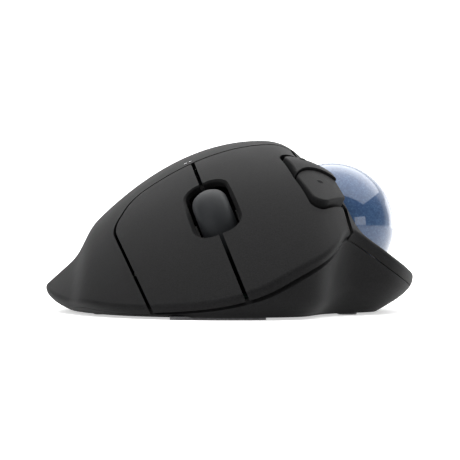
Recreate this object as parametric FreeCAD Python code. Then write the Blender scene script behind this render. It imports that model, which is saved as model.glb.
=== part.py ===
import FreeCAD, Part
import math
import os

from FreeCAD import Vector

# Thumb-operated trackball mouse, right hand. Millimetres, +Z up, the nose at -Y,
# the thumb side with the ball at +X, the little-finger flare at -X.

# overall sizes
BODY_LENGTH = 134.0
BODY_WIDTH = 100.0
BODY_HEIGHT = 47.0
WALL = 2.0
FOOT_HEIGHT = 0.6
FLOOR_THICKNESS = 1.8
RIM_RADIUS = 1.5

# joins between the shell pieces
SHELL_SEAM_DROP = 3.8
SHELL_SEAM_GAP = 0.25
BUTTON_SKIRT = 2.6
BUTTON_GAP = 0.8
SPLIT_GAP = 1.0

# ball and its socket
BALL_DIAMETER = 34.0
BALL_GROUND_GAP = 6.7
BALL_SHELL_GAP = 0.45
SOCKET_GAP = 0.6
SOCKET_WALL = 2.0
BEARING_DIAMETER = 2.5
EJECT_HOLE_DIAMETER = 12.0

# scroll wheel
WHEEL_DIAMETER = 24.0
WHEEL_WIDTH = 9.5
WHEEL_PROUD = 2.4
RECESS_WIDTH = 11.4
RECESS_LENGTH = 24.4
CLICK_TRAVEL = 0.4

# battery
BATTERY_DIAMETER = 14.5
BATTERY_LENGTH = 50.5

KX = BODY_WIDTH / 100.0
KY = BODY_LENGTH / 134.0
KZ = BODY_HEIGHT / 47.0
BOTTOM = FOOT_HEIGHT
FLOOR = FOOT_HEIGHT + FLOOR_THICKNESS
BALL_RADIUS = BALL_DIAMETER / 2.0
BALL_CENTRE = Vector(44.7 * KX - BALL_RADIUS, -5.0 * KY, BALL_GROUND_GAP + BALL_RADIUS)


def smooth(t):
    t = max(0.0, min(1.0, t))
    return t * t * t * (t * (6.0 * t - 15.0) + 10.0)


def blend_max(a, b, reach):
    near = max(0.0, 1.0 - abs(a - b) / reach)
    return max(a, b) + near * near * reach / 4.0


def crown(x, y):
    """Height of the hump alone: a long arch with a soft little-finger side and a steep thumb side."""
    across = x - 8.0
    forward = 5.0 - y
    if forward > 0.0:
        fall = 38.3 * (forward / 71.0) ** 2
    else:
        fall = 42.0 * (-forward / 62.0) ** 2.2
    if across < 0.0:
        lean = 0.0111 * across ** 2 + 0.22 * max(0.0, -across - 45.0) ** 2
    else:
        back = smooth((y + 34.0) / 26.0)
        spread = 20.9 - 6.1 * back
        power = 3.6 - 1.1 * back
        lean = 9.0 * (across / spread) ** power
    return max(47.0 - fall - lean + 0.003 * across * max(forward, -10.0), -30.0)


def top_height(x, y):
    """Height of the outer top surface: the hump blended into the two flares."""
    x = x / KX
    y = y / KY
    edge = -50.0 + 0.0052 * (y - 8.0) ** 2
    left = 8.0 - 0.22 * max(0.0, -y) - 0.0035 * max(0.0, y - 25.0) ** 2 + 0.90 * (x - edge)
    left = min(left, 20.0) - 60.0 * smooth((x + 36.0) / 16.0)
    right = 11.0 + 0.70 * (49.0 - x) - 0.0075 * max(0.0, y - 10.0) ** 2
    right = min(right, 24.0) - 60.0 * smooth((30.0 - x) / 20.0) - 0.06 * max(0.0, -34.0 - y) ** 2
    height = blend_max(crown(x, y), left, 5.0)
    return KZ * blend_max(height, right, 4.0)


def top_normal(x, y):
    step = 0.5
    slope_x = (top_height(x + step, y) - top_height(x - step, y)) / (2.0 * step)
    slope_y = (top_height(x, y + step) - top_height(x, y - step)) / (2.0 * step)
    normal = Vector(-slope_x, -slope_y, 1.0)
    normal.normalize()
    return normal


def top_face(drop):
    """The outer top surface, moved straight down."""
    step = 3.0
    rows = []
    for i in range(43):
        row = []
        for j in range(55):
            x = (i - 21) * step * KX
            y = (j - 27) * step * KY
            row.append(Vector(x, y, top_height(x, y) - drop))
        rows.append(row)
    surface = Part.BSplineSurface()
    surface.interpolate(rows)
    return surface.toShape()


def slab(upper, lower):
    """Solid between two copies of the top surface."""
    return top_face(upper).extrude(Vector(0.0, 0.0, upper - lower))


def below_top(drop):
    return slab(drop, drop + 120.0 * KZ)


# plan outline at its widest level: x, y, inset at the bottom, outset at mid height
OUTLINE = [
    (0.0, 68.2, 5.0, 2.0), (-26.0, 61.0, 6.0, 2.0), (-43.0, 40.0, 8.0, 2.0), (-50.5, 12.0, 7.0, 2.0),
    (-49.0, -14.0, 7.0, 2.0), (-40.0, -38.0, 6.0, 2.0), (-26.0, -56.3, 5.0, 2.0), (-5.0, -66.8, 5.0, 2.0),
    (11.0, -65.5, 5.0, 3.0), (21.0, -59.6, 5.0, 4.5), (25.4, -50.0, 5.0, 5.0), (30.0, -38.0, 5.0, 3.0),
    (41.0, -29.0, 6.5, 3.0), (48.0, -16.0, 9.0, 2.0), (50.0, 4.0, 9.5, 2.0), (46.5, 26.0, 8.5, 2.0),
    (36.0, 47.0, 7.0, 2.0), (19.0, 63.0, 5.0, 2.0),
]
LEVELS = [0.6, 1.1, 1.9, 3.1, 4.9, 7.5, 11.0, 15.5, 21.0, 28.0, 36.0, 45.0, 56.0]


def side_solid(inset=0.0):
    """Solid inside the side wall: a loft through closed outlines, curling in under the body."""
    count = len(OUTLINE)
    plan = [Vector(item[0] * KX, item[1] * KY, 0.0) for item in OUTLINE]
    marks = [0.0]
    for i in range(count):
        marks.append(marks[-1] + math.sqrt((plan[(i + 1) % count] - plan[i]).Length))
    wires = []
    for level in LEVELS:
        low = max(0.0, (9.0 - level) / 8.4)
        high = max(0.0, (level - 9.0) / 19.0)
        points = []
        for i in range(count):
            along = plan[(i + 1) % count] - plan[i - 1]
            along.normalize()
            outward = Vector(along.y, -along.x, 0.0)
            if outward.dot(plan[i]) < 0.0:
                outward = outward * -1.0
            curl = 1.8 if OUTLINE[i][0] > 28.0 else 2.8
            shift = OUTLINE[i][3] * high ** 1.2 - OUTLINE[i][2] * low ** curl - inset
            height = BOTTOM + (level - 0.6) * KZ
            points.append(plan[i] + outward * shift + Vector(0.0, 0.0, height))
        curve = Part.BSplineCurve()
        curve.interpolate(Points=points, PeriodicFlag=True, Parameters=marks)
        wires.append(Part.Wire([curve.toShape()]))
    return Part.makeLoft(wires, True, False)


def box(x0, x1, y0, y1, z0, z1):
    return Part.makeBox(x1 - x0, y1 - y0, z1 - z0, Vector(x0, y0, z0))


def rod(start, end, radius):
    along = end - start
    return Part.makeCylinder(radius, along.Length, start, along)


def post(x, y, z0, z1, radius):
    return rod(Vector(x, y, z0), Vector(x, y, z1), radius)


def tube(x, y, z0, z1, outer, inner):
    return post(x, y, z0, z1, outer).cut(post(x, y, z0 - 1.0, z1 + 1.0, inner))


def ball(centre, radius):
    return Part.makeSphere(radius, centre)


class Frame:
    """Local axes: u across, v along the heading, w along the normal."""

    def __init__(self, origin, normal, heading):
        self.origin = origin
        self.w = Vector(normal)
        self.w.normalize()
        self.v = heading - self.w * heading.dot(self.w)
        self.v.normalize()
        self.u = self.v.cross(self.w)

    def at(self, u, v, w):
        return self.origin + self.u * u + self.v * v + self.w * w


def surface_frame(x, y, heading):
    point = Vector(x * KX, y * KY, top_height(x * KX, y * KY))
    return Frame(point, top_normal(point.x, point.y), heading)


def inset_outline(corners, gap):
    """Move every side of a counter-clockwise outline inward by the gap."""
    count = len(corners)
    lines = []
    for i in range(count):
        x0, y0 = corners[i][0], corners[i][1]
        x1, y1 = corners[(i + 1) % count][0], corners[(i + 1) % count][1]
        length = math.hypot(x1 - x0, y1 - y0)
        dx, dy = (x1 - x0) / length, (y1 - y0) / length
        lines.append((x0 - dy * gap, y0 + dx * gap, dx, dy))
    moved = []
    for i in range(count):
        ax, ay, adx, ady = lines[i - 1]
        bx, by, bdx, bdy = lines[i]
        turn = adx * bdy - ady * bdx
        reach = ((bx - ax) * bdy - (by - ay) * bdx) / turn
        moved.append((ax + adx * reach, ay + ady * reach, corners[i][2]))
    return moved


def rounded_wire(frame, corners, w):
    """Closed wire through corners (u, v, radius) with arcs at the corners."""
    count = len(corners)
    edges = []
    first = None
    last = None
    for i in range(count):
        here = frame.at(corners[i][0], corners[i][1], w)
        before = frame.at(corners[i - 1][0], corners[i - 1][1], w) - here
        after = frame.at(corners[(i + 1) % count][0], corners[(i + 1) % count][1], w) - here
        before.normalize()
        after.normalize()
        radius = corners[i][2]
        half = before.getAngle(after) / 2.0
        if radius > 0.0:
            setback = radius / math.tan(half)
            middle = before + after
            middle.normalize()
            start = here + before * setback
            end = here + after * setback
            crest = here + middle * (radius / math.sin(half) - radius)
        else:
            start = here
            end = here
        if last is not None:
            edges.append(Part.makeLine(last, start))
        else:
            first = start
        if radius > 0.0:
            edges.append(Part.Arc(start, crest, end).toShape())
        last = end
    edges.append(Part.makeLine(last, first))
    return Part.Wire(edges)


def prism(frame, corners, w0, w1):
    face = Part.Face(rounded_wire(frame, corners, w0))
    return face.extrude(frame.w * (w1 - w0))


def rectangle(u, v, width, length, radius):
    return [(u - width / 2.0, v - length / 2.0, radius), (u + width / 2.0, v - length / 2.0, radius),
            (u + width / 2.0, v + length / 2.0, radius), (u - width / 2.0, v + length / 2.0, radius)]


def scaled(corners):
    return [(u * KX, v * KY, radius * min(KX, KY)) for u, v, radius in corners]


def save(name, shape):
    shape.exportStep("parts/" + name + ".step")


# button frame: u along the wheel axle, v up the slope, w outward
FRONT_NORMAL = top_normal(-4.0 * KX, -42.0 * KY)
FRONT = surface_frame(-4.0, -42.0, FRONT_NORMAL.cross(Vector(FRONT_NORMAL.z, 0.0, -FRONT_NORMAL.x)))
THUMB = surface_frame(22.3, -29.5, Vector(-5.5 * KX, 17.6 * KY, 7.0 * KZ))
LEVEL = Frame(Vector(0.0, 0.0, 0.0), Vector(0.0, 0.0, 1.0), Vector(0.0, 1.0, 0.0))

# outline of the two main buttons together, seen along the outward direction
BUTTON_ZONE = scaled([
    (-22.4, -50.0, 0.0), (31.0, -50.0, 0.0), (31.0, -9.5, 16.0), (32.2, 2.0, 0.0), (27.0, 2.0, 0.0),
    (26.0, 34.0, 0.0), (-19.5, 33.4, 9.0), (-27.3, 21.5, 14.0),
])
ZONE_DEPTH = -17.0
SPLIT = -0.6 * KX
RECESS_U = -0.3 * KX
RECESS_V = 3.5 * KY
# outline of the pocket for the two small side buttons
POCKET = scaled([
    (-4.0, -19.0, 2.6), (7.4, -8.5, 2.0), (7.4, 9.5, 3.5), (4.5, 13.0, 3.0), (-6.2, 12.2, 4.0), (-6.1, -3.0, 20.0),
])
SIDE_GAP = 0.35
SIDE_DEPTH = 1.8
SIDE_STEP = 0.7
SIDE_EDGE = 0.5
DIVIDE_U = 2.4 * KX
DIVIDE_V = -6.2 * KY
DIVIDE_RADIUS = 9.0 * min(KX, KY)
FORWARD_MARK = (0.3 * KX, -4.2 * KY)
BACK_MARK = (-0.7 * KX, 8.9 * KY)

# hinge line of the main buttons and their light switches
HINGE_V = 30.0 * KY
HINGE_W = -13.0
PIN_RADIUS = 1.0
RUNNING_GAP = 0.05
HINGE_SPAN = (-22.5 * KX, 16.0 * KX)
LEFT_LUGS = (3.0, HINGE_SPAN[1] - 5.4)
RIGHT_LUGS = (-14.4, -5.2)
LUG_WIDTH = 3.0
LIGHT_U = -1.7 * KX
LIGHT_SETBACK = 6.3
LIGHT_RADIUS = 0.42
BOARD_BOTTOM = FLOOR + 2.0
BOARD_TOP = BOARD_BOTTOM + 1.2
SWITCH_HEIGHT = 6.5
PLUNGER_PROUD = 0.8
LEFT_SWITCH = (9.0 * KX, -46.0 * KY)
RIGHT_SWITCH = (-11.5 * KX, -43.0 * KY)

# shells
SHELL_THICKNESS = 2.4
CASE_SCREWS = [(-38.0 * KX, -10.0 * KY), (-30.0 * KX, 40.0 * KY), (29.0 * KX, 34.0 * KY), (6.0 * KX, 56.0 * KY)]
BOARD_SCREWS = [(-16.0 * KX, -25.0 * KY), (11.4 * KX, -35.2 * KY), (-1.0 * KX, -51.0 * KY)]
SOCKET_SCREWS = [
    (BALL_CENTRE.x + 8.3, BALL_CENTRE.y + 17.0), (BALL_CENTRE.x + 6.3, BALL_CENTRE.y - 16.0),
    (BALL_CENTRE.x - 19.7, BALL_CENTRE.y),
]
FRAME_POSTS = [(-21.6 * KX, -7.6 * KY), (0.7 * KX, -7.6 * KY)]
SIDE_POST = (17.1 * KX, -34.2 * KY)
SCREW_RADIUS = 1.1
HEAD_RADIUS = 2.0
BOARD_OUTLINE = scaled([
    (-20.0, -44.0, 0.0), (-12.0, -53.0, 0.0), (9.0, -55.0, 0.0), (14.0, -50.0, 0.0), (14.0, -21.0, 0.0),
    (-20.0, -21.0, 0.0),
])

# battery bay, measured from the front of the battery
BATTERY_X = -12.0 * KX
BATTERY_Y = -1.0 * KY
BATTERY_Z = BOTTOM + 2.1 + BATTERY_DIAMETER / 2.0
BAY_RIGHT = BATTERY_X + BATTERY_DIAMETER / 2.0 + 1.75
BAY_LEFT = BATTERY_X - BATTERY_DIAMETER / 2.0 - 0.35
BAY_REAR = BATTERY_Y + BATTERY_LENGTH + 3.5
BAY_FRONT = BATTERY_Y - 2.0
RECEIVER_LEFT = BAY_LEFT - 11.4
RECEIVER_REAR = BAY_FRONT + 30.0
BAY_WALL = 1.4
DOOR_GAP = 0.25
DOOR_THICKNESS = 1.4
DOOR_OUTLINE = [
    (RECEIVER_LEFT, BAY_FRONT, 1.0), (BAY_RIGHT, BAY_FRONT, 1.0), (BAY_RIGHT, BAY_REAR, 2.0),
    (BAY_LEFT, BAY_REAR, 2.0), (BAY_LEFT, RECEIVER_REAR, 2.0), (RECEIVER_LEFT, RECEIVER_REAR, 2.0),
]
DOOR_AXIS_Y = BAY_FRONT + DOOR_GAP + 1.2
DOOR_AXIS_Z = BOTTOM + DOOR_THICKNESS / 2.0
DOOR_SWING_ROOM = 0.9

POWER_X = -10.0 * KX
CONNECT_X = 3.0 * KX
CONTROL_Y = -37.0 * KY
FEET = {
    "foot_nose": (-3.0 * KX, -58.0 * KY, 24.0 * KX, 4.5), "foot_left": (-33.5 * KX, -16.0 * KY, 5.0, 16.0 * KY),
    "foot_right": (31.0 * KX, -19.0 * KY, 5.0, 12.0 * KY), "foot_rear_left": (-12.5 * KX, 56.4 * KY, 14.0 * KX, 3.4),
    "foot_rear_right": (22.0 * KX, 47.0 * KY, 5.0, 13.0 * KY),
}


def sewn(faces):
    shell = Part.Shell(faces)
    shell.sewShape()
    return Part.Solid(shell)


def caps_and_sides(solid):
    by_area = sorted(solid.Faces, key=lambda face: -face.Area)
    caps = sorted(by_area[:2], key=lambda face: -face.CenterOfMass.z)
    return caps[0], caps[1], by_area[2:]


def rolled(solid):
    """Round the long edge where the top surface meets the side wall."""
    rim = [edge for edge in solid.Edges if edge.isPartner(longest_top_edge(solid))]
    return solid.makeFillet(RIM_RADIUS, rim[:1])


def longest_top_edge(solid):
    top = max(solid.Faces, key=lambda face: face.Area)
    return max(top.OuterWire.Edges, key=lambda edge: edge.Length)


def shell_plate(outside, inside):
    """Top shell blank: a thin skin with a deeper skirt around its edge."""
    outer = slab(0.0, SHELL_SEAM_DROP).common(outside).Solids[0]
    inner = slab(SHELL_THICKNESS, SHELL_SEAM_DROP).common(inside).Solids[0]
    top, ledge, sides = caps_and_sides(outer)
    ceiling, hollow, walls = caps_and_sides(inner)
    return rolled(sewn([top] + sides + ledge.cut(hollow).Faces + [ceiling] + walls))


def button_plate(outside):
    return rolled(slab(0.0, BUTTON_SKIRT).common(outside).Solids[0])


def build_base(outside, inside):
    shell = outside.common(below_top(SHELL_SEAM_DROP + SHELL_SEAM_GAP))
    room = inside.common(box(-90.0 * KX, 90.0 * KX, -110.0 * KY, 110.0 * KY, FLOOR, 90.0 * KZ))
    return shell.cut(room).Solids[0]


def half_space(side):
    """Everything on one side of the split between the main buttons."""
    near = SPLIT + side * SPLIT_GAP / 2.0
    far = side * 80.0 * KX
    low, high = min(near, far), max(near, far)
    return prism(FRONT, [(low, -80.0 * KY, 0.0), (high, -80.0 * KY, 0.0), (high, 60.0 * KY, 0.0),
                         (low, 60.0 * KY, 0.0)], -60.0, 20.0)


def recess_cutter():
    """Opening for the wheel with a bevel around its mouth."""
    opening = rectangle(RECESS_U, RECESS_V, RECESS_WIDTH, RECESS_LENGTH, 4.5)
    mouth = rectangle(RECESS_U, RECESS_V, RECESS_WIDTH + 5.2, RECESS_LENGTH + 5.2, 7.2)
    bevel = Part.makeLoft([rounded_wire(FRONT, opening, -1.6), rounded_wire(FRONT, mouth, 1.6)], True, True)
    return prism(FRONT, opening, -30.0, 6.0).fuse(bevel)


def screw(x, y, head_z, tip_z):
    """Small screw; the head end may be above or below the tip."""
    facing = 1.0 if tip_z > head_z else -1.0
    head = post(x, y, min(head_z, head_z + facing * 1.5), max(head_z, head_z + facing * 1.5), HEAD_RADIUS)
    shank = post(x, y, min(head_z, tip_z), max(head_z, tip_z), SCREW_RADIUS)
    drive = box(x - 1.2, x + 1.2, y - 0.3, y + 0.3, head_z - 0.7, head_z + 0.7)
    return head.fuse(shank).cut(drive).cut(drive_cross(x, y, head_z))


def drive_cross(x, y, z):
    return box(x - 0.3, x + 0.3, y - 1.2, y + 1.2, z - 0.7, z + 0.7)


def front_rod(u0, u1, v, w, radius):
    return rod(FRONT.at(u0, v, w), FRONT.at(u1, v, w), radius)



def lug(u, ceiling):
    """Hinge arm from a main button down to the hinge pin."""
    side = Frame(FRONT.at(u, 0.0, 0.0), FRONT.u, FRONT.v)
    arm = prism(side, [(-HINGE_W + 2.4, HINGE_V - 2.4, 1.0), (-HINGE_W + 2.4, HINGE_V + 2.4, 1.0),
                       (0.0, HINGE_V + 2.4, 0.0), (0.0, HINGE_V - 2.4, 0.0)], 0.0, LUG_WIDTH)
    bore = front_rod(u - 1.0, u + LUG_WIDTH + 1.0, HINGE_V, HINGE_W, PIN_RADIUS + RUNNING_GAP)
    return arm.common(ceiling).cut(bore)


# ---- ball, socket and sensor ------------------------------------------------
SOCKET_INNER = BALL_RADIUS + SOCKET_GAP
SOCKET_OUTER = SOCKET_INNER + SOCKET_WALL
OPENING = Vector(0.783, 0.0, 0.622)
SENSOR = Frame(BALL_CENTRE, Vector(-0.75, -0.5, -0.43), Vector(0.0, 0.0, 1.0))
BEARING_ANGLES = (40.0, 160.0, 280.0)
BEARING_TILT = math.radians(52.0)


def bearing_centre(angle):
    turn = math.radians(angle)
    cup = Frame(BALL_CENTRE, OPENING * -1.0, Vector(0.0, 1.0, 0.0))
    reach = BALL_RADIUS + 0.03 + BEARING_DIAMETER / 2.0
    side = reach * math.sin(BEARING_TILT)
    return cup.at(side * math.cos(turn), side * math.sin(turn), reach * math.cos(BEARING_TILT))


def bearing_seat(angle):
    """Round-bottomed seat drilled outward from inside the cup."""
    centre = bearing_centre(angle)
    out = centre - BALL_CENTRE
    out.normalize()
    return rod(centre - out * 2.0, centre + out * (BEARING_DIAMETER / 2.0 + 0.02), BEARING_DIAMETER / 2.0 + 0.01)


def socket_lug(x, y):
    """Flat arm from the cup to one screw."""
    lug_z = FLOOR + 4.6
    out = Vector(x - BALL_CENTRE.x, y - BALL_CENTRE.y, 0.0)
    arm = Frame(Vector(BALL_CENTRE.x, BALL_CENTRE.y, lug_z), Vector(0.0, 0.0, 1.0), out)
    reach = out.Length
    plate = prism(arm, rectangle(0.0, reach / 2.0 + 1.6, 6.4, reach + 3.2, 0.0), 0.0, 2.4)
    return plate.cut(ball(BALL_CENTRE, SOCKET_OUTER - 0.6))


def build_socket(side_board_room):
    cup = ball(BALL_CENTRE, SOCKET_OUTER)
    for x, y in SOCKET_SCREWS:
        cup = cup.fuse(socket_lug(x, y))
    for offset in (-5.0, 5.0):
        cup = cup.fuse(rod(SENSOR.at(offset, 0.0, SOCKET_OUTER - 1.0), SENSOR.at(offset, 0.0, SOCKET_OUTER + 4.4), 0.9))
    cup = cup.cut(ball(BALL_CENTRE, SOCKET_INNER))
    mouth = Frame(BALL_CENTRE, OPENING, Vector(0.0, 1.0, 0.0))
    cup = cup.cut(prism(mouth, rectangle(0.0, 0.0, 60.0, 60.0, 0.0), -2.5, 40.0))
    cup = cup.cut(post(BALL_CENTRE.x, BALL_CENTRE.y, 0.0, BALL_CENTRE.z, EJECT_HOLE_DIAMETER / 2.0))
    cup = cup.cut(rod(SENSOR.at(0.0, 0.0, 10.0), SENSOR.at(0.0, 0.0, 30.0), 2.6))
    for angle in BEARING_ANGLES:
        cup = cup.cut(bearing_seat(angle))
    for x, y in SOCKET_SCREWS:
        cup = cup.cut(post(x, y, 0.0, 20.0, SCREW_RADIUS + RUNNING_GAP))
    return cup.cut(side_board_room)


def build_sensor():
    near = SOCKET_OUTER
    lens = rod(SENSOR.at(0.0, 0.0, near - 1.6), SENSOR.at(0.0, 0.0, near + 0.4), 2.4)
    lens = lens.fuse(rod(SENSOR.at(0.0, 0.0, near + 0.3), SENSOR.at(0.0, 0.0, near + 1.0), 3.6))
    chip = prism(SENSOR, rectangle(0.0, 0.0, 7.0, 7.6, 0.4), near + 1.05, near + 2.6)
    board = prism(SENSOR, rectangle(0.0, 0.0, 13.0, 10.0, 1.0), near + 2.6, near + 3.6)
    for offset in (-5.0, 5.0):
        hole = rod(SENSOR.at(offset, 0.0, near), SENSOR.at(offset, 0.0, near + 6.0), 0.95)
        board = board.cut(hole)
    return lens, chip, board


# ---- scroll wheel -----------------------------------------------------------
WHEEL_RADIUS = WHEEL_DIAMETER / 2.0
WHEEL_W = WHEEL_PROUD - WHEEL_RADIUS
WHEEL = Frame(FRONT.at(RECESS_U, RECESS_V, WHEEL_W), FRONT.u, FRONT.v)
HUB_RADIUS = WHEEL_RADIUS - 4.0
AXLE_RADIUS = 1.0
ARM_IN = WHEEL_WIDTH / 2.0 + 0.65
ARM_OUT = ARM_IN + 1.6
ENCODER_OUT = ARM_OUT + 4.0


def wheel_rod(w0, w1, radius):
    return rod(WHEEL.at(0.0, 0.0, w0), WHEEL.at(0.0, 0.0, w1), radius)


def build_wheel():
    """Crowned tyre turned from a profile, on a hub with its own axle stubs."""
    half = WHEEL_WIDTH / 2.0
    rim = WHEEL_RADIUS
    inner = HUB_RADIUS + RUNNING_GAP
    marks = [(rim - 3.5, -half), (rim - 1.9, -half + 0.6), (rim - 0.6, -half + 2.2), (rim, 0.0),
             (rim - 0.6, half - 2.2), (rim - 1.9, half - 0.6), (rim - 3.5, half)]
    points = [WHEEL.at(r, 0.0, w) for r, w in marks]
    edges = [Part.Arc(points[0], points[1], points[2]).toShape(), Part.Arc(points[2], points[3], points[4]).toShape(),
             Part.Arc(points[4], points[5], points[6]).toShape(),
             Part.makeLine(points[6], WHEEL.at(inner, 0.0, half)),
             Part.makeLine(WHEEL.at(inner, 0.0, half), WHEEL.at(inner, 0.0, -half)),
             Part.makeLine(WHEEL.at(inner, 0.0, -half), points[0])]
    tyre = Part.Face(Part.Wire(edges)).revolve(WHEEL.origin, WHEEL.w, 360.0)
    hub = wheel_rod(-half + 0.3, half - 0.3, HUB_RADIUS)
    hub = hub.cut(wheel_rod(1.0, half, HUB_RADIUS - 1.3)).cut(wheel_rod(-half, -1.0, HUB_RADIUS - 1.3))
    hub = hub.fuse(wheel_rod(-half, half, 2.4)).fuse(wheel_rod(-ARM_OUT - 0.4, ENCODER_OUT - 1.0, AXLE_RADIUS))
    return tyre, hub


def build_carrier():
    """Fork that holds the wheel and slides down when the wheel is pressed."""
    carrier = None
    foot = WHEEL_RADIUS + 1.2
    for low, high in ((-ARM_OUT, -ARM_IN), (ARM_IN, ARM_OUT)):
        arm = prism(WHEEL, [(-2.8, -5.0, 2.0), (foot + 1.6, -5.0, 1.0), (foot + 1.6, 5.0, 1.0), (-2.8, 5.0, 2.0)],
                    low, high)
        carrier = arm if carrier is None else carrier.fuse(arm)
    carrier = carrier.fuse(prism(WHEEL, rectangle(foot + 0.4, 0.0, 2.0, 9.0, 0.0), -ARM_OUT + 0.2, ARM_OUT - 0.2))
    carrier = carrier.common(box(-60.0, 60.0, -90.0 * KY, 40.0, BOARD_TOP + CLICK_TRAVEL + 0.5, 60.0))
    return carrier.cut(wheel_rod(-ARM_OUT - 1.0, ARM_OUT + 1.0, AXLE_RADIUS + RUNNING_GAP))


def build_encoder():
    block = prism(WHEEL, rectangle(0.0, 0.0, 8.0, 8.6, 0.8), ARM_OUT, ENCODER_OUT)
    return block.cut(wheel_rod(ARM_OUT - 1.0, ENCODER_OUT - 0.6, AXLE_RADIUS + RUNNING_GAP))


def build_wheel_guide():
    """Two upright cheeks on the board that guide the fork."""
    guide = None
    top = WHEEL_RADIUS - 3.0
    for side in (-1.0, 1.0):
        inner = side * (ARM_OUT + 0.3)
        outer = side * (ARM_OUT + 1.8)
        cheek = prism(WHEEL, [(top, -4.0, 0.0), (60.0, -4.0, 0.0), (60.0, 4.0, 0.0), (top, 4.0, 0.0)],
                      min(inner, outer), max(inner, outer))
        guide = cheek if guide is None else guide.fuse(cheek)
    return guide.common(box(-60.0, 60.0, -90.0 * KY, 40.0, BOARD_TOP, 60.0))


# ---- switches and boards ----------------------------------------------------
def build_switch(x, y):
    """Light switch with a sliding plunger; the plunger sits toward the nose."""
    body = box(x - 2.9, x + 2.9, y - 6.4, y + 6.4, BOARD_TOP, BOARD_TOP + SWITCH_HEIGHT)
    well = box(x - 1.4, x + 1.4, y - 3.3, y - 1.9, BOARD_TOP + SWITCH_HEIGHT - 2.2, BOARD_TOP + SWITCH_HEIGHT + 1.0)
    body = body.cut(well).cut(box(x - 3.0, x - 2.7, y - 7.0, y + 7.0, BOARD_TOP + 4.0, BOARD_TOP + 4.4))
    plunger = box(x - 1.3, x + 1.3, y - 3.2, y - 2.0, BOARD_TOP + SWITCH_HEIGHT - 1.6,
                  BOARD_TOP + SWITCH_HEIGHT + PLUNGER_PROUD)
    return body, plunger


def press_post(x, y, ceiling):
    foot = BOARD_TOP + SWITCH_HEIGHT + PLUNGER_PROUD + 0.2
    return post(x, y - 2.6, foot, 60.0 * KZ, 1.9).common(ceiling)


def build_main_board():
    board = prism(LEVEL, BOARD_OUTLINE, BOARD_BOTTOM, BOARD_TOP)
    for x, y in BOARD_SCREWS:
        board = board.cut(post(x, y, 0.0, 20.0, SCREW_RADIUS + RUNNING_GAP))
    return board


def build_side_board():
    outline = [(-5.5, -10.5, 0.8), (4.5, -10.5, 0.8), (4.5, -2.0, 0.8), (0.8, 8.3, 0.8), (-5.5, 8.3, 0.8)]
    board = prism(THUMB, outline, -10.0, -9.0)
    bracket = prism(THUMB, inset_outline(outline, 0.4), -12.0, -10.0)
    leg = post(SIDE_POST[0], SIDE_POST[1], FLOOR, 60.0 * KZ, 2.4)
    low = prism(THUMB, rectangle(0.0, 0.0, 90.0, 90.0, 0.0), -90.0, -11.0)
    leg = leg.common(low)
    room = prism(THUMB, inset_outline(outline, -1.0), -13.2, 4.0)
    return board, bracket.fuse(leg), room


def cap_height(u, v, step):
    """Height of a side button's top in the thumb frame: flush at its left edge, proud at its front and right."""
    across = (u / KX - 1.5) ** 2 / 46.0
    behind = max(0.0, v / KY - 1.0) ** 2 / 60.0
    ahead = max(0.0, 1.0 - v / KY) ** 2 / 900.0
    return step - across - behind - ahead


def cap_block(step):
    """Block under the top of a side button."""
    rows = []
    for i in range(13):
        row = []
        for j in range(19):
            u = (i - 6) * 2.0 * KX
            v = (j - 10) * 2.4 * KY
            row.append(THUMB.at(u, v, cap_height(u, v, step)))
        rows.append(row)
    surface = Part.BSplineSurface()
    surface.interpolate(rows)
    return surface.toShape().extrude(THUMB.w * -14.0)


def ahead_of_divide(gap):
    """Everything ahead of the curved line between the two side buttons."""
    low = prism(THUMB, [(-40.0, -60.0, 0.0), (40.0, -60.0, 0.0), (40.0, DIVIDE_V, 0.0), (-40.0, DIVIDE_V, 0.0)],
                -20.0, 20.0)
    middle = (DIVIDE_U, DIVIDE_V)
    return low.fuse(rod(THUMB.at(middle[0], middle[1], -20.0), THUMB.at(middle[0], middle[1], 20.0),
                        DIVIDE_RADIUS + gap))


def build_side_button(outline, stem_place, mark, step):
    """Cap with softened edges, a small round mark and a stem over its switch."""
    cap = cap_block(step).common(prism(THUMB, outline, -9.0, 12.0))
    top = max(cap.Faces, key=lambda face: face.CenterOfMass.dot(THUMB.w))
    cap = cap.makeFillet(SIDE_EDGE, top.Edges)
    if step > 0.0:
        cap = cap.cut(ahead_of_divide(0.2))
    else:
        cap = cap.common(ahead_of_divide(-0.2))
    cap = cap.common(slab(-9.0, SIDE_DEPTH))
    cap = cap.cut(ball(BALL_CENTRE, BALL_RADIUS + BALL_SHELL_GAP + 0.4))
    dome = THUMB.at(mark[0], mark[1], cap_height(mark[0], mark[1], step) - 1.4)
    stem = rod(THUMB.at(stem_place[0], stem_place[1], -4.85), THUMB.at(stem_place[0], stem_place[1], -1.8), 1.2)
    return cap.fuse(ball(dome, 1.7).common(cap_block(step + 1.0))).fuse(stem)


# ---- battery bay ------------------------------------------------------------
def build_battery():
    cell = rod(Vector(BATTERY_X, BATTERY_Y + 1.0, BATTERY_Z), Vector(BATTERY_X, BATTERY_Y + BATTERY_LENGTH, BATTERY_Z),
               BATTERY_DIAMETER / 2.0)
    edges = [edge for edge in cell.Edges if edge.Curve.TypeId == "Part::GeomCircle"]
    nub = rod(Vector(BATTERY_X, BATTERY_Y, BATTERY_Z), Vector(BATTERY_X, BATTERY_Y + 1.5, BATTERY_Z), 2.7)
    return cell.makeFillet(0.5, edges).fuse(nub)


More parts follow.
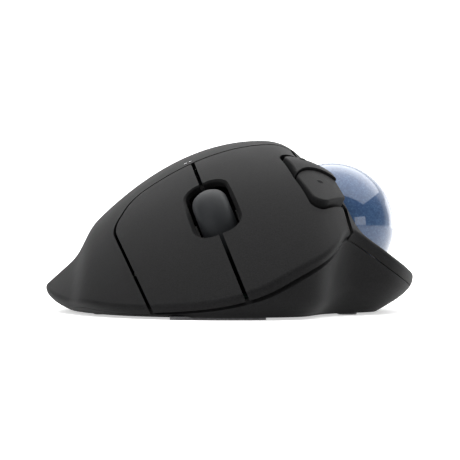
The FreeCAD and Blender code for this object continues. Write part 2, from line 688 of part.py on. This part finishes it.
def build_contacts():
    """Flat plate at the front, coil spring on a plate at the rear."""
    front = box(BATTERY_X - 4.0, BATTERY_X + 4.0, BAY_FRONT + 0.6, BATTERY_Y - 0.05, BATTERY_Z - 4.5, BATTERY_Z + 4.0)
    back = BATTERY_Y + BATTERY_LENGTH
    helix = Part.makeHelix(0.8, 2.4, 3.4)
    wire = Part.Wire([Part.makeCircle(0.3, Vector(3.4, 0.0, 0.0), Vector(0.0, 1.0, 0.0))])
    coil = Part.Wire(helix.Edges).makePipeShell([wire], True, True)
    coil.rotate(Vector(0.0, 0.0, 0.0), Vector(1.0, 0.0, 0.0), -90.0)
    coil.translate(Vector(BATTERY_X, back + 0.35, BATTERY_Z))
    plate = box(BATTERY_X - 4.5, BATTERY_X + 4.5, back + 2.9, back + 3.3, BATTERY_Z - 5.0, BATTERY_Z + 5.0)
    return front, coil.fuse(plate)


def build_receiver():
    x = BAY_LEFT - 1.5 - 3.2
    y = BAY_FRONT + 14.0
    cap = box(x - 3.05, x + 3.05, y - 7.2, y + 7.2, FLOOR + 0.4, FLOOR + 7.1)
    cap = cap.makeFillet(1.0, [edge for edge in cap.Edges if edge.BoundBox.ZLength > 6.0])
    plug = box(x - 2.25, x + 2.25, y - 6.0, y + 6.0, FLOOR + 7.1, FLOOR + 18.9)
    plug = plug.cut(box(x - 1.8, x + 0.2, y - 5.5, y + 5.5, FLOOR + 9.0, FLOOR + 19.5))
    sleeve = box(x - 3.6, BAY_LEFT, y - 7.4, y + 7.4, FLOOR + 9.0, FLOOR + 11.0)
    return cap, plug, sleeve.cut(box(x - 2.45, x + 2.45, y - 6.2, y + 6.2, 0.0, 30.0))


def build_door():
    door = prism(LEVEL, inset_outline(DOOR_OUTLINE, DOOR_GAP), BOTTOM, BOTTOM + DOOR_THICKNESS)
    for x0, x1 in ((RECEIVER_LEFT - 1.0, RECEIVER_LEFT + 1.0), (BAY_RIGHT - 1.0, BAY_RIGHT + 1.0)):
        door = door.fuse(rod(Vector(x0, DOOR_AXIS_Y, DOOR_AXIS_Z), Vector(x1, DOOR_AXIS_Y, DOOR_AXIS_Z), 0.5))
    grip = None
    for i in range(3):
        y = BAY_REAR - 7.0 + i * 1.6
        groove = box(BATTERY_X - 5.0, BATTERY_X + 5.0, y, y + 0.7, BOTTOM - 0.5, BOTTOM + 0.4)
        grip = groove if grip is None else grip.fuse(groove)
    return door.cut(grip)


def bay_walls():
    top = BATTERY_Z + BATTERY_DIAMETER / 2.0 + 0.3
    low = FLOOR + 6.5
    floor = FLOOR - 0.4
    walls = box(BAY_RIGHT, BAY_RIGHT + BAY_WALL, BAY_FRONT - BAY_WALL, BAY_REAR + BAY_WALL, floor, top)
    divider = box(BAY_LEFT - BAY_WALL, BAY_LEFT, BAY_FRONT - BAY_WALL, BAY_REAR + BAY_WALL, floor + 0.4, top)
    swing = box(BAY_LEFT - 3.0, BAY_LEFT + 1.0, BAY_FRONT, DOOR_AXIS_Y + 2.0, 0.0, FLOOR + DOOR_SWING_ROOM)
    walls = walls.fuse(divider.cut(swing))
    walls = walls.fuse(box(RECEIVER_LEFT - BAY_WALL, BAY_RIGHT, BAY_FRONT - BAY_WALL, BAY_FRONT, floor, low))
    walls = walls.fuse(box(BAY_LEFT - BAY_WALL, BAY_RIGHT, BAY_REAR, BAY_REAR + BAY_WALL, floor, low))
    walls = walls.fuse(box(RECEIVER_LEFT - BAY_WALL, RECEIVER_LEFT, BAY_FRONT - BAY_WALL, RECEIVER_REAR + BAY_WALL,
                           floor, low))
    walls = walls.fuse(box(RECEIVER_LEFT - BAY_WALL, BAY_LEFT, RECEIVER_REAR, RECEIVER_REAR + BAY_WALL, floor, low))
    for share in (0.18, 0.78):
        y = BATTERY_Y + BATTERY_LENGTH * share
        walls = walls.fuse(box(BAY_LEFT - BAY_WALL, BAY_RIGHT + BAY_WALL, y, y + 3.0, top, top + 1.5))
    return walls


# ---- assembly ---------------------------------------------------------------
def finish_base(shell):
    for x, y in CASE_SCREWS:
        shell = shell.fuse(post(x, y, FLOOR - 0.4, FLOOR + 4.4, 3.4))
    for x, y in BOARD_SCREWS:
        shell = shell.fuse(post(x, y, FLOOR - 0.4, BOARD_BOTTOM, 2.4))
    for x, y in SOCKET_SCREWS:
        shell = shell.fuse(post(x, y, FLOOR - 0.4, FLOOR + 4.6, 2.6))
    shell = shell.fuse(bay_walls().common(below_top(SHELL_THICKNESS + 1.2))).fuse(build_receiver()[2])
    for x, y in CASE_SCREWS + FRAME_POSTS:
        shell = shell.cut(post(x, y, 0.0, 30.0, SCREW_RADIUS + RUNNING_GAP)).cut(post(x, y, 0.0, BOTTOM + 1.8, 2.4))
    for x, y in BOARD_SCREWS + SOCKET_SCREWS:
        shell = shell.cut(post(x, y, FLOOR - 0.6, 30.0, SCREW_RADIUS + RUNNING_GAP))
    shell = shell.cut(post(BALL_CENTRE.x, BALL_CENTRE.y, 0.0, FLOOR + 1.0, EJECT_HOLE_DIAMETER / 2.0 + 1.0))
    shell = shell.cut(prism(LEVEL, DOOR_OUTLINE, 0.0, FLOOR + 0.01))
    shell = shell.cut(rod(Vector(RECEIVER_LEFT - 1.2, DOOR_AXIS_Y, DOOR_AXIS_Z),
                          Vector(BAY_RIGHT + 1.2, DOOR_AXIS_Y, DOOR_AXIS_Z), 0.5 + RUNNING_GAP))
    shell = shell.cut(prism(LEVEL, rectangle(POWER_X, CONTROL_Y, 8.4, 3.6, 0.6), 0.0, FLOOR + 1.0))
    shell = shell.cut(post(CONNECT_X, CONTROL_Y, 0.0, FLOOR + 1.0, 2.5))
    for x, y, width, length in FEET.values():
        radius = min(width, length) / 2.0 - 0.05
        shell = shell.cut(prism(LEVEL, rectangle(x, y, width + 0.3, length + 0.3, radius), 0.0, BOTTOM + 0.2))
    return shell


def main():
    os.makedirs("parts", exist_ok=True)
    outside = side_solid()
    inside = side_solid(WALL)
    ceiling = below_top(SHELL_THICKNESS / 2.0)
    zone = prism(FRONT, BUTTON_ZONE, ZONE_DEPTH, 14.0)
    button_area = prism(FRONT, inset_outline(BUTTON_ZONE, BUTTON_GAP), ZONE_DEPTH + BUTTON_GAP, 14.0)
    recess = recess_cutter()
    side_board, side_bracket, side_room = build_side_board()

    base = finish_base(build_base(outside, inside))
    save("base_shell", base)

    top = shell_plate(outside, inside)
    top = top.cut(zone).cut(prism(THUMB, POCKET, -8.0, 9.0))
    for x, y in CASE_SCREWS:
        boss = post(x, y, FLOOR + 4.5, 60.0 * KZ, 2.8).common(ceiling)
        top = top.fuse(boss).cut(post(x, y, 0.0, FLOOR + 11.0, SCREW_RADIUS + RUNNING_GAP))
    top = top.cut(ball(BALL_CENTRE, BALL_RADIUS + BALL_SHELL_GAP))
    light_v = HINGE_V + LIGHT_SETBACK
    pipe = prism(FRONT, rectangle(LIGHT_U, light_v, 2.6, 1.8, 0.3), HINGE_W - 1.9, HINGE_W - 0.9)
    for u in (LIGHT_U - 0.7, LIGHT_U + 0.7):
        branch = rod(FRONT.at(u, light_v, HINGE_W - 1.9), FRONT.at(u, light_v, 10.0), LIGHT_RADIUS)
        pipe = pipe.fuse(branch.common(below_top(0.0)))
        top = top.cut(rod(FRONT.at(u, light_v, HINGE_W), FRONT.at(u, light_v, 10.0), LIGHT_RADIUS + RUNNING_GAP))
    save("top_shell", top)
    save("light_pipe", pipe)
    save("status_led", prism(FRONT, rectangle(LIGHT_U, light_v, 2.4, 3.2, 0.3), HINGE_W - 3.3, HINGE_W - 2.0))

    plate = button_plate(outside)
    buttons = plate.common(button_area).cut(recess)
    right = buttons.common(half_space(-1.0))
    left = buttons.common(half_space(1.0)).cut(prism(THUMB, inset_outline(POCKET, -0.6), -8.0, 9.0))
    for u in LEFT_LUGS:
        left = left.fuse(lug(u, ceiling))
    for u in RIGHT_LUGS:
        right = right.fuse(lug(u, ceiling))
    left = left.fuse(press_post(LEFT_SWITCH[0], LEFT_SWITCH[1], ceiling))
    right = right.fuse(press_post(RIGHT_SWITCH[0], RIGHT_SWITCH[1], ceiling))
    save("left_button", left)
    save("right_button", right)

    cap_outline = inset_outline(POCKET, SIDE_GAP)
    save("forward_button", build_side_button(cap_outline, (0.0, -6.5), FORWARD_MARK, 0.0))
    save("back_button", build_side_button(cap_outline, (-2.2, 4.6), BACK_MARK, SIDE_STEP))
    save("side_board", side_board)
    save("side_bracket", side_bracket)
    save("forward_switch", prism(THUMB, rectangle(0.0, -6.5, 6.0, 6.0, 0.4), -9.0, -5.4))
    save("back_switch", prism(THUMB, rectangle(-2.2, 4.6, 5.8, 6.0, 0.4), -9.0, -5.4))

    save("trackball", ball(BALL_CENTRE, BALL_RADIUS))
    save("ball_socket", build_socket(side_room))
    for number, angle in enumerate(BEARING_ANGLES):
        save("bearing_%d" % (number + 1), ball(bearing_centre(angle), BEARING_DIAMETER / 2.0))
    lens, chip, sensor_board = build_sensor()
    save("sensor_lens", lens)
    save("sensor_chip", chip)
    save("sensor_board", sensor_board)

    tyre, hub = build_wheel()
    save("wheel_tyre", tyre)
    save("wheel_hub", hub)
    save("wheel_fork", build_carrier())
    save("wheel_encoder", build_encoder())
    save("wheel_guide", build_wheel_guide())

    save("main_board", build_main_board())
    for name, place in (("left", LEFT_SWITCH), ("right", RIGHT_SWITCH)):
        body, plunger = build_switch(place[0], place[1])
        save(name + "_switch", body)
        save(name + "_plunger", plunger)
    radio = box(-16.0 * KX, -16.0 * KX + 6.0, -35.0 * KY, -35.0 * KY + 6.0, BOARD_TOP, BOARD_TOP + 1.0)
    save("radio_chip", radio)

    beam = prism(FRONT, [(HINGE_SPAN[0], HINGE_V - 4.0, 0.0), (HINGE_SPAN[1], HINGE_V - 4.0, 0.0),
                         (HINGE_SPAN[1], HINGE_V + 4.0, 0.0), (6.0, HINGE_V + 4.0, 0.0), (6.0, HINGE_V + 12.0, 0.0),
                         (-4.0, HINGE_V + 12.0, 0.0), (-4.0, HINGE_V + 4.0, 0.0),
                         (HINGE_SPAN[0], HINGE_V + 4.0, 0.0)], HINGE_W - 5.5, HINGE_W - 3.3)
    for u in (HINGE_SPAN[0] + 0.5, -1.5, HINGE_SPAN[1] - 1.8):
        side = Frame(FRONT.at(u, 0.0, 0.0), FRONT.u, FRONT.v)
        beam = beam.fuse(prism(side, [(-HINGE_W + 4.0, HINGE_V - 2.4, 0.0), (-HINGE_W + 4.0, HINGE_V + 2.4, 0.0),
                                      (-HINGE_W - 2.0, HINGE_V + 2.0, 1.0), (-HINGE_W - 2.0, HINGE_V - 2.0, 1.0)],
                               0.0, 1.4))
    under_beam = prism(FRONT, rectangle(0.0, HINGE_V, 120.0, 120.0, 0.0), -90.0, HINGE_W - 4.5)
    for x, y in FRAME_POSTS:
        beam = beam.fuse(post(x, y, FLOOR, 60.0 * KZ, 2.6).common(under_beam))
        beam = beam.cut(post(x, y, 0.0, FLOOR + 9.0, SCREW_RADIUS + RUNNING_GAP))
    pin = front_rod(HINGE_SPAN[0], HINGE_SPAN[1], HINGE_V, HINGE_W, PIN_RADIUS)
    save("button_frame", beam.cut(pin))
    save("hinge_pin", pin)

    save("battery", build_battery())
    front_contact, spring_contact = build_contacts()
    save("front_contact", front_contact)
    save("spring_contact", spring_contact)
    save("battery_door", build_door())
    receiver, plug, sleeve = build_receiver()
    save("receiver_cap", receiver)
    save("receiver_plug", plug)

    power_body = box(POWER_X - 4.5, POWER_X + 4.5, CONTROL_Y - 2.2, CONTROL_Y + 2.2, BOARD_BOTTOM - 1.5, BOARD_BOTTOM)
    save("power_switch", power_body)
    save("power_knob", box(POWER_X - 3.6, POWER_X - 0.2, CONTROL_Y - 1.5, CONTROL_Y + 1.5, BOTTOM + 0.2,
                           BOARD_BOTTOM - 1.6))
    save("connect_switch", box(CONNECT_X - 2.2, CONNECT_X + 2.2, CONTROL_Y - 2.2, CONTROL_Y + 2.2,
                               BOARD_BOTTOM - 1.3, BOARD_BOTTOM))
    save("connect_button", post(CONNECT_X, CONTROL_Y, BOTTOM + 0.2, BOARD_BOTTOM - 1.7, 2.4))

    for name, (x, y, width, length) in FEET.items():
        radius = min(width, length) / 2.0 - 0.2
        save(name, prism(LEVEL, rectangle(x, y, width, length, radius), 0.0, BOTTOM + 0.2))
    for number, (x, y) in enumerate(CASE_SCREWS):
        save("case_screw_%d" % (number + 1), screw(x, y, BOTTOM + 0.3, FLOOR + 10.0))
    for number, (x, y) in enumerate(FRAME_POSTS):
        save("frame_screw_%d" % (number + 1), screw(x, y, BOTTOM + 0.3, FLOOR + 8.0))
    for number, (x, y) in enumerate(BOARD_SCREWS):
        save("board_screw_%d" % (number + 1), screw(x, y, BOARD_TOP + 1.5, FLOOR - 0.4))
    for number, (x, y) in enumerate(SOCKET_SCREWS):
        save("socket_screw_%d" % (number + 1), screw(x, y, FLOOR + 8.5, FLOOR - 0.4))


main()
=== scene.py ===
import math

import bpy
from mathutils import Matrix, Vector

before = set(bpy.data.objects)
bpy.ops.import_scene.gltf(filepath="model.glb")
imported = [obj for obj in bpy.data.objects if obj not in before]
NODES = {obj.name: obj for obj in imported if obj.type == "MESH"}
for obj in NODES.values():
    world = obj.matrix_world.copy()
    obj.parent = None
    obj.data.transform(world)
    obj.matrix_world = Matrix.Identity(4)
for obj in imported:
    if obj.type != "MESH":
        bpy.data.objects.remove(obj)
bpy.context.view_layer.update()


# ---- node helpers -----------------------------------------------------------
class Paint:
    """A node material with a few short calls for the parts that repeat."""

    def __init__(self, name):
        self.material = bpy.data.materials.new(name)
        self.material.use_nodes = True
        self.tree = self.material.node_tree
        self.shader = next(node for node in self.tree.nodes if node.type == "BSDF_PRINCIPLED")
        coordinates = self.tree.nodes.new("ShaderNodeTexCoord")
        self.place = coordinates.outputs["Object"]

    def link(self, source, target):
        self.tree.links.new(source, target)

    def noise(self, cell, detail=2.0, rough=0.5, distort=0.0):
        """Noise whose grain is about one cell wide, in metres."""
        node = self.tree.nodes.new("ShaderNodeTexNoise")
        node.inputs["Scale"].default_value = 1.0 / cell
        node.inputs["Detail"].default_value = detail
        node.inputs["Roughness"].default_value = rough
        node.inputs["Distortion"].default_value = distort
        self.link(self.place, node.inputs["Vector"])
        return node.outputs["Fac"]

    def cells(self, cell, feature="F1"):
        """Voronoi cells about one cell wide, in metres."""
        node = self.tree.nodes.new("ShaderNodeTexVoronoi")
        node.inputs["Scale"].default_value = 1.0 / cell
        node.feature = feature
        self.link(self.place, node.inputs["Vector"])
        return node

    def ramp(self, source, stops):
        """Colour or value ramp; stops are (position, (r, g, b))."""
        node = self.tree.nodes.new("ShaderNodeValToRGB")
        bar = node.color_ramp
        bar.elements[0].position = stops[0][0]
        bar.elements[0].color = (*stops[0][1], 1.0)
        bar.elements[1].position = stops[-1][0]
        bar.elements[1].color = (*stops[-1][1], 1.0)
        for position, colour in stops[1:-1]:
            bar.elements.new(position).color = (*colour, 1.0)
        self.link(source, node.inputs["Fac"])
        return node.outputs["Color"]

    def spread(self, source, low, high):
        """Map 0..1 to low..high."""
        node = self.tree.nodes.new("ShaderNodeMapRange")
        node.inputs["To Min"].default_value = low
        node.inputs["To Max"].default_value = high
        self.link(source, node.inputs["Value"])
        return node.outputs["Result"]

    def times(self, first, second):
        """Multiply two colours."""
        node = self.tree.nodes.new("ShaderNodeMix")
        node.data_type = "RGBA"
        node.blend_type = "MULTIPLY"
        node.inputs[0].default_value = 1.0
        self.link(first, node.inputs[6])
        self.link(second, node.inputs[7])
        return node.outputs[2]

    def bump(self, *layers):
        """Stack bumps; each layer is (height socket, depth in metres, strength)."""
        before = None
        for height, depth, strength in layers:
            node = self.tree.nodes.new("ShaderNodeBump")
            node.inputs["Distance"].default_value = depth
            node.inputs["Strength"].default_value = strength
            self.link(height, node.inputs["Height"])
            if before is not None:
                self.link(before, node.inputs["Normal"])
            before = node.outputs["Normal"]
        self.link(before, self.shader.inputs["Normal"])

    def set(self, **values):
        """Set the shader's inputs by short name, from a socket, a colour or a number."""
        names = {"base": "Base Color", "rough": "Roughness", "metal": "Metallic",
                 "specular": "Specular IOR Level", "coat": "Coat Weight",
                 "coat_rough": "Coat Roughness", "ior": "IOR",
                 "clear": "Transmission Weight", "glow": "Emission Strength", "glow_colour": "Emission Color"}
        for key, value in values.items():
            socket = self.shader.inputs[names[key]]
            if isinstance(value, bpy.types.NodeSocket):
                self.link(value, socket)
            elif isinstance(value, tuple):
                socket.default_value = (*value, 1.0)
            else:
                socket.default_value = value


# ---- materials --------------------------------------------------------------
def moulded(name, dark, light, rough=0.48, grain=0.00034, depth=0.00003, specular=0.5):
    """Fine spark-eroded plastic with faint handling marks."""
    paint = Paint(name)
    fine = paint.noise(grain, 3.0, 0.6)
    patch = paint.noise(0.018, 4.0, 0.6)
    tone = paint.ramp(patch, [(0.3, dark), (0.75, light)])
    speck = paint.ramp(fine, [(0.35, (0.68, 0.68, 0.68)), (0.7, (1.32, 1.32, 1.32))])
    paint.set(base=paint.times(tone, speck), rough=paint.spread(patch, rough - 0.05, rough + 0.07),
              specular=specular)
    paint.bump((fine, depth, 0.55), (patch, 0.0002, 0.04))
    return paint.material


def metal(name, colour, rough=0.28):
    paint = Paint(name)
    streak = paint.noise(0.0006, 3.0, 0.6, 0.4)
    paint.set(base=paint.ramp(streak, [(0.3, tuple(c * 0.8 for c in colour)), (0.7, colour)]), metal=1.0,
              rough=paint.spread(streak, rough - 0.06, rough + 0.14))
    paint.bump((streak, 0.00002, 0.2))
    return paint.material


def pearl():
    """Pearl-blue lacquer with fine flakes under a clear coat."""
    paint = Paint("ball_pearl")
    flake = paint.cells(0.00042)
    cloud = paint.noise(0.006, 3.0, 0.6)
    base = paint.ramp(flake.outputs["Color"], [(0.0, (0.012, 0.038, 0.098)), (0.55, (0.018, 0.052, 0.125)),
                                               (1.0, (0.034, 0.078, 0.165))])
    tint = paint.ramp(cloud, [(0.3, (0.88, 0.9, 0.94)), (0.7, (1.08, 1.06, 1.02))])
    paint.set(base=paint.times(base, tint), metal=0.30, rough=paint.spread(cloud, 0.40, 0.48),
              coat=0.9, coat_rough=0.02, specular=0.2)
    paint.bump((flake.outputs["Distance"], 0.00002, 0.12))
    return paint.material


def rubber():
    paint = Paint("wheel_rubber")
    fine = paint.noise(0.00018, 2.0, 0.5)
    patch = paint.noise(0.004, 3.0, 0.6)
    paint.set(base=paint.ramp(patch, [(0.3, (0.0105, 0.0115, 0.0128)), (0.7, (0.0140, 0.0152, 0.0168))]),
              rough=paint.spread(patch, 0.52, 0.60), specular=0.10)
    paint.bump((fine, 0.00002, 0.3))
    return paint.material


def board_green():
    paint = Paint("board_mask")
    trace = paint.cells(0.0018, "DISTANCE_TO_EDGE")
    line = paint.ramp(trace.outputs["Distance"], [(0.02, (0.02, 0.10, 0.05)), (0.06, (0.008, 0.045, 0.024))])
    paint.set(base=line, rough=0.35, coat=0.4, coat_rough=0.2)
    paint.bump((trace.outputs["Distance"], 0.00005, 0.2))
    return paint.material


def clear(name, colour, rough):
    paint = Paint(name)
    haze = paint.noise(0.002, 2.0, 0.5)
    paint.set(base=paint.ramp(haze, [(0.3, colour), (0.8, tuple(min(1.0, c * 1.08) for c in colour))]),
              rough=paint.spread(haze, rough, rough + 0.08), clear=0.85, ior=1.49)
    return paint.material


SHELL = moulded("shell_plastic", (0.0062, 0.0062, 0.0064), (0.0082, 0.0082, 0.0085), 0.58, specular=0.055)
BASE = moulded("base_plastic", (0.0064, 0.0064, 0.0066), (0.0084, 0.0084, 0.0087), 0.58, specular=0.06)
INNER = moulded("inner_plastic", (0.012, 0.012, 0.013), (0.02, 0.02, 0.021), 0.6)
CHIP = moulded("chip_plastic", (0.010, 0.010, 0.011), (0.018, 0.018, 0.018), 0.45, 0.0004)
RED = moulded("plunger_plastic", (0.42, 0.03, 0.02), (0.55, 0.05, 0.03), 0.4)
PAD = moulded("foot_pad", (0.05, 0.05, 0.052), (0.075, 0.075, 0.078), 0.32, 0.0006)
SLEEVE = moulded("cell_sleeve", (0.02, 0.045, 0.03), (0.03, 0.06, 0.04), 0.25, 0.002)
CERAMIC = moulded("ceramic", (0.62, 0.61, 0.58), (0.74, 0.73, 0.70), 0.15, 0.002)
STEEL = metal("plated_steel", (0.62, 0.61, 0.59))
DARK_STEEL = metal("blackened_steel", (0.020, 0.020, 0.021), 0.5)
PEARL = pearl()
TYRE = rubber()
GREEN = board_green()
PIPE = clear("clear_guide", (0.80, 0.84, 0.86), 0.12)

PAINTS = {
    "base_shell": BASE, "top_shell": SHELL, "left_button": SHELL, "right_button": SHELL,
    "forward_button": SHELL, "back_button": SHELL, "battery_door": BASE, "trackball": PEARL,
    "wheel_tyre": TYRE, "wheel_hub": INNER, "wheel_fork": INNER, "wheel_encoder": CHIP, "wheel_guide": INNER,
    "button_frame": INNER, "side_bracket": INNER, "ball_socket": INNER, "receiver_cap": INNER,
    "power_knob": PAD, "connect_button": PAD, "main_board": GREEN, "side_board": GREEN, "sensor_board": GREEN,
    "battery": SLEEVE, "left_plunger": RED, "right_plunger": RED, "light_pipe": PIPE, "sensor_lens": PIPE,
    "status_led": PIPE, "hinge_pin": DARK_STEEL, "front_contact": STEEL, "spring_contact": STEEL,
    "receiver_plug": STEEL,
}


def paint_for(name):
    """Material of a node, by its own name or by its family."""
    if name in PAINTS:
        return PAINTS[name]
    if "screw" in name:
        return STEEL
    if name.startswith("foot"):
        return PAD
    if name.startswith("bearing"):
        return CERAMIC
    return CHIP


for name, node in NODES.items():
    node.data.materials.clear()
    node.data.materials.append(paint_for(name))


# ---- studio -----------------------------------------------------------------
def area(name, place, target, width, height, power):
    """Softbox of a size in metres and a power in watts, turned to its target."""
    light = bpy.data.lights.new(name, "AREA")
    light.shape = "RECTANGLE"
    light.size = width
    light.size_y = height
    light.energy = power
    lamp = bpy.data.objects.new(name, light)
    lamp.location = place
    lamp.rotation_euler = (Vector(target) - Vector(place)).to_track_quat("-Z", "Y").to_euler()
    bpy.context.scene.collection.objects.link(lamp)


def sweep_floor():
    """Pale floor that curves up into a backdrop."""
    half = 3.0
    bend_start = 0.9
    radius = 0.5
    steps = 16
    profile = [(-half, 0.0), (bend_start, 0.0)]
    for step in range(1, steps + 1):
        turn = math.radians(90.0 * step / steps)
        profile.append((bend_start + radius * math.sin(turn), radius - radius * math.cos(turn)))
    profile.append((bend_start + radius, half))
    mesh = bpy.data.meshes.new("studio_floor")
    points = [(side * half, y, z) for y, z in profile for side in (-1.0, 1.0)]
    faces = [(2 * i, 2 * i + 1, 2 * i + 3, 2 * i + 2) for i in range(len(profile) - 1)]
    mesh.from_pydata(points, [], faces)
    mesh.shade_smooth()
    floor = bpy.data.objects.new("studio_floor", mesh)
    bpy.context.scene.collection.objects.link(floor)
    paint = Paint("floor_paper")
    grain = paint.noise(0.004, 2.0, 0.5)
    paint.set(base=paint.ramp(grain, [(0.3, (0.78, 0.78, 0.78)), (0.7, (0.80, 0.80, 0.80))]), rough=0.9,
              specular=0.1, glow_colour=(1.0, 1.0, 1.0), glow=0.55)
    mesh.materials.append(paint.material)


sweep_floor()
world = bpy.data.worlds.new("studio")
bpy.context.scene.world = world
world.use_nodes = True
world.node_tree.nodes["Background"].inputs["Color"].default_value = (1.0, 1.0, 1.0, 1.0)
world.node_tree.nodes["Background"].inputs["Strength"].default_value = 0.22

area("top_panel", (0.25, 0.34, 0.80), (0.25, 0.34, 0.0), 1.90, 1.72, 30.0)
area("key_left", (-0.55, -0.42, 0.40), (0.0, -0.01, 0.03), 0.30, 0.26, 2.4)
area("front_box", (0.63, -0.49, 0.11), (0.028, 0.0, 0.026), 0.30, 0.18, 0.55)
area("rim_right", (0.60, 0.66, 0.14), (0.03, 0.0, 0.02), 0.30, 0.28, 0.5)

CAMERA_DISTANCE = 0.605
CAMERA_HEIGHT = 0.0223
camera_data = bpy.data.cameras.new("camera")
camera_data.lens = 172.3
camera_data.sensor_width = 36.0
camera_data.clip_start = 0.05
camera = bpy.data.objects.new("camera", camera_data)
camera.location = (0.0, -CAMERA_DISTANCE, CAMERA_HEIGHT)
camera.rotation_euler = (math.radians(90.0), 0.0, 0.0)
bpy.context.scene.collection.objects.link(camera)
bpy.context.scene.camera = camera
bpy.context.scene.view_settings.view_transform = "Standard"
